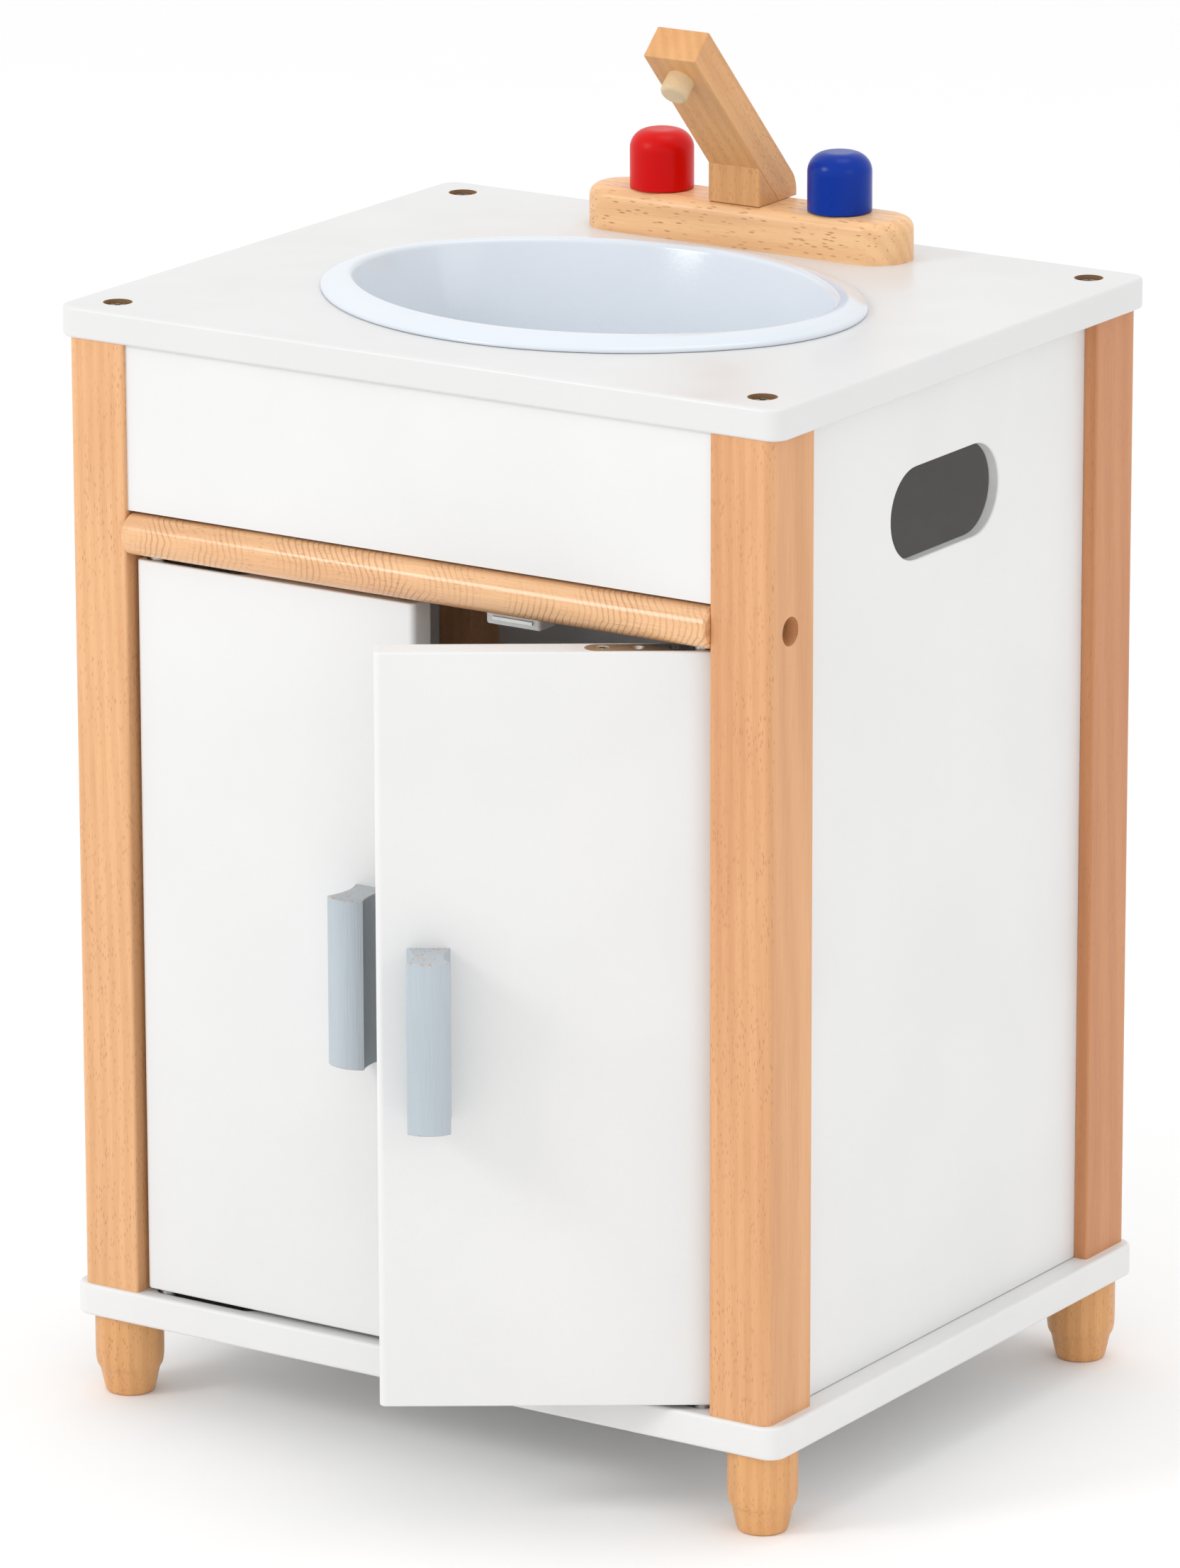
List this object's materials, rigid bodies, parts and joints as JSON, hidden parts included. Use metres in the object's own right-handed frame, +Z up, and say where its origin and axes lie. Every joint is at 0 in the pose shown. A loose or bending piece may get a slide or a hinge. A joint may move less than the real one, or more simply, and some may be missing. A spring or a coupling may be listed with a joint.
{
  "type": "toy kitchen",
  "caption": "Play sink cabinet with hinged doors, lift-out bowl, turning tap knobs and a swivelling spout on a wooden frame.",
  "frame": {"origin": "on the floor, at the middle of the four foot screw holes, under the middle of the cabinet", "axes": "+Z up, +X to the right seen from the front, the doors face -Y"},
  "size_m": [0.4, 0.4176, 0.651],
  "materials": {
    "white_lacquer": "satin white lacquer",
    "beech": "clear-lacquered beech",
    "birch": "clear-lacquered birch",
    "bowl_plastic": "glossy ice blue",
    "red_paint": "gloss red paint",
    "blue_paint": "gloss blue paint",
    "handle_paint": "satin blue-grey paint",
    "catch_plastic": "white plastic",
    "zinc_steel": "zinc plated"
  },
  "bodies": {
    "cabinet": {"apron_dowels": "beech", "back_panel": "white_lacquer", "base_panel": "white_lacquer", "base_plate_screws": "zinc_steel", "bottom_hinge_pins": "zinc_steel", "catch_poles": "zinc_steel", "catch_screws": "zinc_steel", "cross_rail": "beech", "foot_front_left": "beech", "foot_front_right": "beech", "foot_rear_left": "beech", "foot_rear_right": "beech", "foot_screws": "zinc_steel", "front_apron": "white_lacquer", "knob_axles": "beech", "left_base_plate": "zinc_steel", "left_catch": "catch_plastic", "left_rail_plate": "zinc_steel", "left_side_panel": "white_lacquer", "post_front_left": "beech", "post_front_right": "beech", "post_rear_left": "beech", "post_rear_right": "beech", "rail_bolts": "zinc_steel", "rail_plate_screws": "zinc_steel", "right_base_plate": "zinc_steel", "right_catch": "catch_plastic", "right_rail_plate": "zinc_steel", "right_side_panel": "white_lacquer", "spout_pin": "beech", "tap_base": "beech", "tap_base_screws": "zinc_steel", "top_hinge_pins": "zinc_steel", "worktop": "white_lacquer", "worktop_screws": "zinc_steel"},
    "left_door": {"left_door": "white_lacquer", "left_handle": "handle_paint", "left_handle_screws": "zinc_steel", "left_strike": "zinc_steel", "left_strike_screw": "zinc_steel", "left_door_top_plate": "zinc_steel", "left_door_bottom_plate": "zinc_steel", "left_door_top_plate_screws": "zinc_steel", "left_door_bottom_plate_screws": "zinc_steel"},
    "right_door": {"right_door": "white_lacquer", "right_handle": "handle_paint", "right_handle_screws": "zinc_steel", "right_strike": "zinc_steel", "right_strike_screw": "zinc_steel", "right_door_top_plate": "zinc_steel", "right_door_bottom_plate": "zinc_steel", "right_door_top_plate_screws": "zinc_steel", "right_door_bottom_plate_screws": "zinc_steel"},
    "bowl": {"sink_bowl": "bowl_plastic"},
    "hot_knob": {"hot_knob": "red_paint"},
    "cold_knob": {"cold_knob": "blue_paint"},
    "spout": {"tap_riser": "beech", "tap_spout": "beech", "spout_nozzle": "birch"}
  },
  "joints": [
    {"name": "left_door_hinge", "type": "hinge", "parent": "cabinet", "child": "left_door", "pos_m": [-0.1516, -0.1515, 0.24], "axis": [0, 0, -1], "range_deg": [0, 95]},
    {"name": "right_door_hinge", "type": "hinge", "parent": "cabinet", "child": "right_door", "pos_m": [0.1516, -0.1515, 0.24], "axis": [0, 0, 1], "range_deg": [-33.7, 61.3]},
    {"name": "bowl_lift", "type": "slide", "parent": "cabinet", "child": "bowl", "axis": [0, 0, 1], "range_m": [0, 0.045]},
    {"name": "hot_knob_turn", "type": "hinge", "parent": "cabinet", "child": "hot_knob", "pos_m": [-0.0505, 0.1274, 0.5586], "axis": [0, 0, 1], "continuous": true},
    {"name": "cold_knob_turn", "type": "hinge", "parent": "cabinet", "child": "cold_knob", "pos_m": [0.0505, 0.1274, 0.5586], "axis": [0, 0, 1], "continuous": true},
    {"name": "spout_swivel", "type": "hinge", "parent": "cabinet", "child": "spout", "pos_m": [0, 0.1274, 0.5586], "axis": [0, 0, 1], "range_deg": [-75, 75]}
  ]
}
